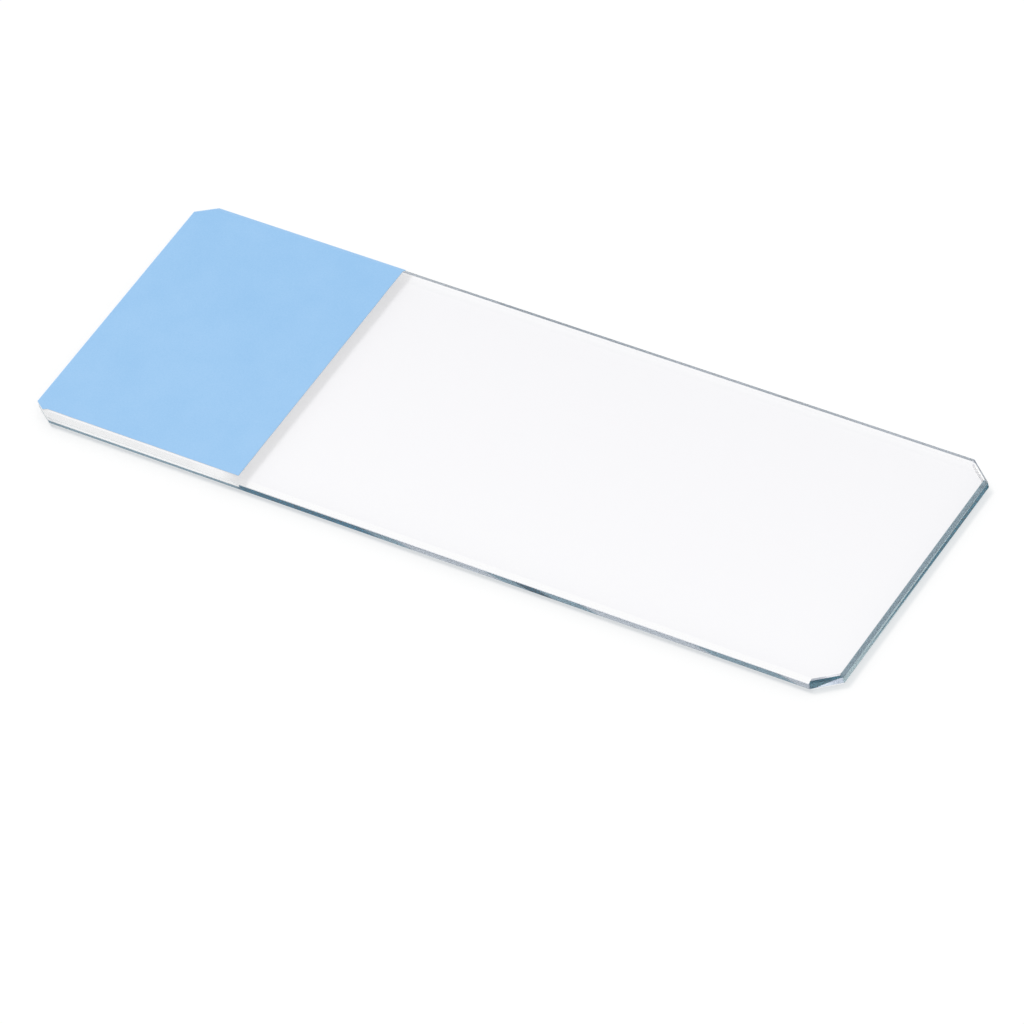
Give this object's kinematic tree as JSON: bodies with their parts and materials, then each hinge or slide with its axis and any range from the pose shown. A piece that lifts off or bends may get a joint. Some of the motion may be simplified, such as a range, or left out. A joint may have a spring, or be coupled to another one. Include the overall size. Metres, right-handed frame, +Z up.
{
  "type": "microscope slide",
  "caption": "Thin clear glass slide with ground bevelled edges, cut corners and a pale blue marking coat on one end of its upper face.",
  "frame": {"origin": "on the underside of the glass, at the middle of the plate", "axes": "+X along the length, away from the marking coat; +Y across the width; +Z up out of the face that carries the marking coat"},
  "size_m": [0.075, 0.025, 0.0013],
  "materials": {
    "clear_glass": "polished faces, finely ground edges",
    "blue_coat": "matt, slightly grained printed coat"
  },
  "bodies": {
    "root": {"glass_plate": "clear_glass", "marking_coat": "blue_coat"}
  },
  "joints": []
}
